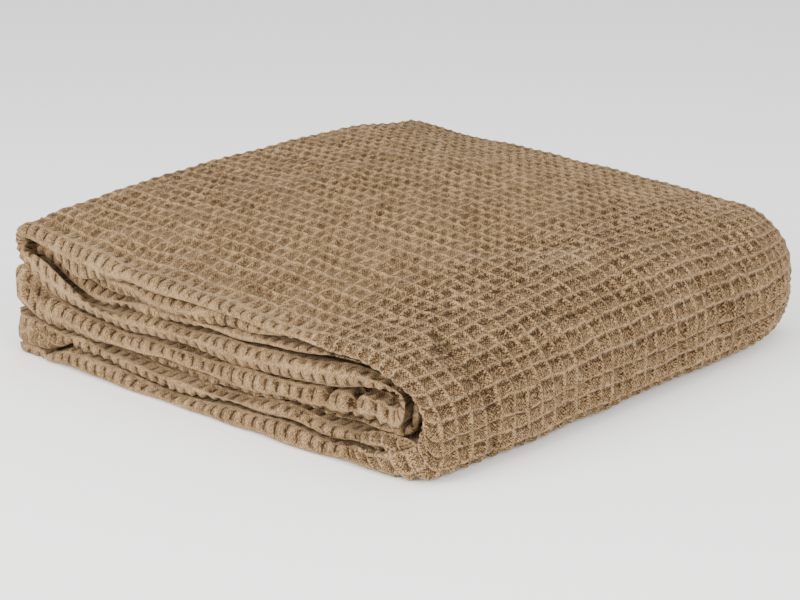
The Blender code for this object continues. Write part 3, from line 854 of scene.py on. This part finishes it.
def cotton():
    """Beige waffle weave, drawn in cells on the map that the pieces carry."""
    material = bpy.data.materials.new("cotton weave")
    material.use_nodes = True
    tree = material.node_tree
    nodes, links = tree.nodes, tree.links
    shader = nodes["Principled BSDF"]
    shader.inputs["Roughness"].default_value = 0.92
    shader.inputs["Specular IOR Level"].default_value = 0.15
    shader.inputs["Sheen Weight"].default_value = 0.12
    shader.inputs["Sheen Roughness"].default_value = 0.45
    shader.inputs["Sheen Tint"].default_value = (0.75, 0.55, 0.35, 1)

    def node(kind, **values):
        made = nodes.new(kind)
        for key, value in values.items():
            setattr(made, key, value)
        return made

    def filled(made, values):
        """Output of a node whose inputs are set, or linked to other outputs."""
        for socket, value in zip(made.inputs, values):
            if isinstance(value, (int, float, tuple)):
                socket.default_value = value
            else:
                links.new(value, socket)
        return made.outputs[0]

    def of_vectors(operation, *values):
        return filled(node("ShaderNodeVectorMath", operation=operation), values)

    def of(operation, *values):
        return filled(node("ShaderNodeMath", operation=operation), values)

    def times(a, b):
        return of("MULTIPLY", a, b)

    def less(a, b):
        return of("SUBTRACT", a, b)

    def scaled(value, share, plus):
        return of("MULTIPLY_ADD", value, share, plus)

    def attribute(name):
        return node("ShaderNodeAttribute", attribute_name=name).outputs["Fac"]

    def noise_at(place, scale, detail, output="Fac"):
        made = node("ShaderNodeTexNoise")
        made.inputs["Scale"].default_value = scale
        made.inputs["Detail"].default_value = detail
        made.inputs["Roughness"].default_value = 0.6
        links.new(place, made.inputs["Vector"])
        return made.outputs[output]

    def falling(value, start, stop):
        """1 up to the start and 0 from the stop on, eased between them."""
        made = node("ShaderNodeMapRange", interpolation_type="SMOOTHSTEP")
        links.new(value, made.inputs["Value"])
        made.inputs["From Min"].default_value = start
        made.inputs["From Max"].default_value = stop
        made.inputs["To Min"].default_value = 1.0
        made.inputs["To Max"].default_value = 0.0
        return made.outputs["Result"]

    def near(value, place, start, stop):
        return falling(of("ABSOLUTE", less(value, place)), start, stop)

    def warped(place, scale, detail, size):
        """A place moved a little, by an even noise."""
        colour = noise_at(uv, scale, detail, "Color")
        move = of_vectors("SUBTRACT", colour, (0.5, 0.5, 0.5))
        move = of_vectors("MULTIPLY", move, (size, size, 0.0))
        return of_vectors("ADD", place, move)

    def parted(place):
        """Both coordinates of a place, along and across the strip."""
        made = node("ShaderNodeSeparateXYZ")
        links.new(place, made.inputs[0])
        return made.outputs[0], made.outputs[1]

    uv = node("ShaderNodeUVMap", uv_map="weave").outputs["UV"]
    nose_at = attribute("nose")
    tone_and_side_light_at = attribute("tone_and_side_light")
    side_at = attribute("side")
    crease_shade_at = attribute("crease_shade")
    place = uv
    for warp in WARPS:
        place = warped(place, *warp)
    at_s, at_w = parted(place)
    d_s = of("PINGPONG", at_s, 0.5)
    d_w = of("PINGPONG", at_w, 0.5)

    # Threads on the ridges, which fade where they cross. Painted light makes them paler than
    # the recesses
    rough = times(less(noise_at(uv, *ROUGH_NOISE), 0.5), ROUGHNESS)
    thread_s = falling(of("ADD", d_s, rough), *THREAD)
    thread_w = falling(less(d_w, rough), *THREAD)
    thread_s = times(thread_s, scaled(falling(d_w, *CROSSING), CROSSING_FADE, 1.0))
    thread_w = times(thread_w, scaled(falling(d_s, *CROSSING), CROSSING_FADE, 1.0))
    side_share = scaled(side_at, SIDE_THREADS_LESS, SIDE_THREADS)
    threads = of("MAXIMUM", thread_s, times(thread_w, side_share))
    threads = times(threads, less(1.0, times(nose_at, NOSE_THREADS_LESS)))
    in_recess = less(1.0, threads)

    # Painted light on the walls of the recesses, and painted shade at their ends and rims,
    # which differ on the turned side
    wall_light = of("MAXIMUM", falling(d_s, *WALL_LIGHT), falling(d_w, *WALL_LIGHT))
    high = near(of("FRACT", at_s), HIGH_PLACE, *HIGH_SHADE)
    low = near(of("FRACT", at_w), LOW_PLACE, *LOW_SHADE)
    shade = times(high, less(1.0, falling(d_w, *SHADE_SIDES)))
    # Painted shade at the far corner of each recess on the top, and under its upper ridge on
    # the turned side
    corner_shade = times(high, low)
    corner_shade = scaled(less(shade, corner_shade), side_at, corner_shade)
    # Painted shade along the sides of the recesses beside the ridges, on the turned side
    rim_shade = times(near(d_w, RIM_SHADE_PLACE, *RIM_SHADE), less(1.0, thread_s))
    side_shade = scaled(shade, IN_SIDE_SHADE, times(rim_shade, IN_SIDE_SHADE))
    # Painted shade in the slots that the recesses are pressed into on the noses
    slot = times(falling(d_s, *SLOT_ENDS), falling(d_w, *SLOT_SIDES))

    # Fine threads and fuzz
    fine_s, fine_w = parted(warped(place, *FINE_WARP))
    picks_s = of("SINE", times(fine_s, 2 * math.pi * PICKS_S))
    picks_w = of("SINE", times(fine_w, 2 * math.pi * PICKS_W))
    grain = less(noise_at(uv, *GRAIN_NOISE), 0.5)
    picks = times(times(picks_s, picks_w), PICKS_SHARE)
    fuzz = of("ADD", picks, times(grain, GRAIN_SHARE))
    fuzz_here = scaled(in_recess, FUZZ_IN_RECESS, FUZZ_SHARE)
    fuzz_here = times(fuzz_here, scaled(side_at, FUZZ_ON_SIDE, 1.0))
    # Uneven painted shade in the recesses, deeper in some than in others
    recess_shade_patch = less(noise_at(uv, *RECESS_SHADE_NOISE), 0.5)

    # painted light: threads and recess walls paler than the recess floors
    value = scaled(threads, ON_THREAD_LIGHT, GROUND)
    value = scaled(wall_light, ON_WALL_LIGHT, value)
    value = scaled(corner_shade, IN_CORNER_SHADE, value)
    # painted light on the rounded, pressed noses of the folds
    value = scaled(nose_at, ON_NOSE_LIGHT, value)
    value = scaled(side_shade, side_at, value)
    value = scaled(fuzz, fuzz_here, value)
    # random tone, with painted light low on the turned side and towards its back
    value = scaled(tone_and_side_light_at, TONE_AND_LIGHT_SHARE, value)
    value = scaled(times(recess_shade_patch, in_recess), RECESS_SHADE_PATCH_SHARE, value)
    value = of("ADD", value, times(times(slot, nose_at), IN_SLOT_SHADE))
    # painted shade in the creases
    value = scaled(crease_shade_at, IN_CREASE_SHADE, value)
    ramp = node("ShaderNodeValToRGB")
    stops = ramp.color_ramp.elements
    for k in (0, -1):
        stops[k].position = TONES[k][0]
        stops[k].color = TONES[k][1]
    for position, colour in TONES[1:-1]:
        stops.new(position).color = colour
    links.new(value, ramp.inputs["Fac"])
    links.new(ramp.outputs["Color"], shader.inputs["Base Color"])
    bump = node("ShaderNodeBump")
    bump.inputs["Strength"].default_value = BUMP_STRENGTH
    bump.inputs["Distance"].default_value = BUMP_DISTANCE
    links.new(scaled(threads, THREAD_BUMP, fuzz), bump.inputs["Height"])
    links.new(bump.outputs["Normal"], shader.inputs["Normal"])
    return material


def plain_material(name, colour, roughness):
    """An even colour without a pattern."""
    material = bpy.data.materials.new(name)
    material.use_nodes = True
    shader = material.node_tree.nodes["Principled BSDF"]
    shader.inputs["Base Color"].default_value = colour
    shader.inputs["Roughness"].default_value = roughness
    return material


# ------------------------------------------------------- camera, floor and light
CAMERA_PLACE = Vector((0.67810 - CENTRE_X, -0.76808 - CENTRE_Y, 0.31688))
CAMERA_RIGHT = Vector((0.74431917, 0.66782405, 0.0))
CAMERA_UP = Vector((-0.18281326, 0.20375339, 0.96180241))
CAMERA_BACK = Vector((0.64231478, -0.71588797, 0.27374464))
CAMERA_LENS = 73.94
CAMERA_SENSOR = 36.0
FLOOR_HALF = 6
FLOOR_COLOUR = (0.93, 0.93, 0.93, 1)
SKY_STRENGTH = 1.45
LIGHT_TARGET = (0, 0, 0.05)
LIGHTS = (
    # name, place, size, power, colour
    ("key", (-0.2, -1.5, 0.6), 0.9, 46, (1.0, 0.97, 0.93)),
    ("side", (1.4, -0.6, 0.6), 0.9, 32, (1.0, 0.97, 0.93)),
    ("top", (0.2, 0.3, 1.6), 1.2, 6, (1, 1, 1)),
)


def camera():
    data = bpy.data.cameras.new("camera")
    data.lens = CAMERA_LENS
    data.sensor_width = CAMERA_SENSOR
    data.clip_start = 0.01
    obj = bpy.data.objects.new("camera", data)
    turned = Matrix((CAMERA_RIGHT, CAMERA_UP, CAMERA_BACK)).transposed()
    obj.matrix_world = Matrix.Translation(CAMERA_PLACE) @ turned.to_4x4()
    bpy.context.scene.collection.objects.link(obj)
    bpy.context.scene.camera = obj


def area_light(name, place, size, power, colour):
    """A square light that shines on the middle of the stack."""
    data = bpy.data.lights.new(name, "AREA")
    data.shape = "SQUARE"
    data.size = size
    data.energy = power
    data.color = colour
    obj = bpy.data.objects.new(name, data)
    obj.location = place
    aim = Vector(LIGHT_TARGET) - Vector(place)
    obj.rotation_euler = aim.to_track_quat("-Z", "Y").to_euler()
    bpy.context.scene.collection.objects.link(obj)


def studio():
    """A plain pale floor under an even sky, and the lights."""
    far = FLOOR_HALF
    corners = [(-far, -far, 0), (far, -far, 0), (far, far, 0), (-far, far, 0)]
    mesh = bpy.data.meshes.new("floor")
    mesh.from_pydata(corners, [], [(0, 1, 2, 3)])
    mesh.materials.append(plain_material("floor", FLOOR_COLOUR, 0.8))
    floor = bpy.data.objects.new("floor", mesh)
    bpy.context.scene.collection.objects.link(floor)
    world = bpy.data.worlds.new("world")
    bpy.context.scene.world = world
    world.use_nodes = True
    sky = world.node_tree.nodes["Background"]
    sky.inputs["Color"].default_value = (1, 1, 1, 1)
    sky.inputs["Strength"].default_value = SKY_STRENGTH
    for light in LIGHTS:
        area_light(*light)


material = cotton()
for name, first, last, own_step in PIECES:
    make_piece(name, first, last, own_step, material)
studio()
camera()
